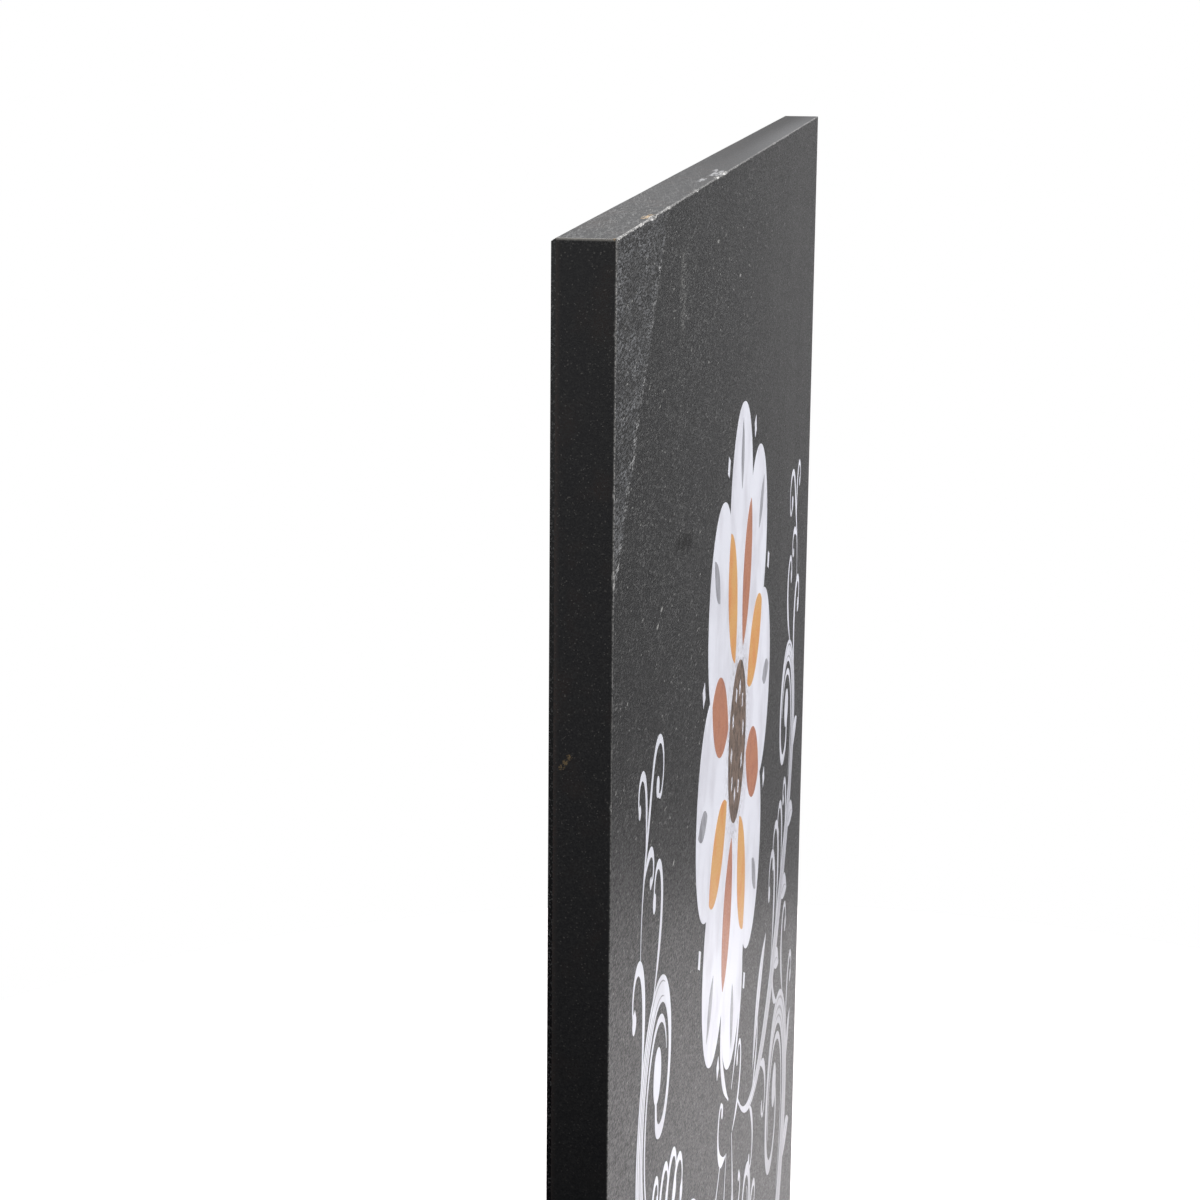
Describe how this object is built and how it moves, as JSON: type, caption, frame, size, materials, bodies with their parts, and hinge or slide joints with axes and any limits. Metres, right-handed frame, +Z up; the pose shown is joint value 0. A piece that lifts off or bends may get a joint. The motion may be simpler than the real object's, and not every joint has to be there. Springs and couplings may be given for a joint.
{
  "type": "granite slab",
  "caption": "Thin square slab of black granite on its edge, bevelled round the back, with a floral scroll print on the front, used as a hard base for stamping leather.",
  "frame": {"origin": "under the middle of the slab, on the surface that its lower edge stands on", "axes": "+Z up; X along the slab's width; the printed face looks along -Y and the bare back face along +Y"},
  "size_m": [0.457, 0.0121, 0.457],
  "materials": {
    "granite": "fine-grained black granite, honed front, sawn edges, polished back",
    "white_ink": "satin cured ink",
    "grey_ink": "satin cured ink",
    "amber_ink": "satin cured ink",
    "orange_ink": "satin cured ink",
    "brown_ink": "satin cured ink"
  },
  "bodies": {
    "root": {"granite_slab": "granite", "white_rosette": "white_ink", "white_scrolls": "white_ink", "white_tendrils": "white_ink", "white_leaves": "white_ink", "white_lozenges": "white_ink", "grey_petal_marks": "grey_ink", "amber_petals": "amber_ink", "orange_petals": "orange_ink", "brown_seed_head": "brown_ink"}
  },
  "joints": []
}
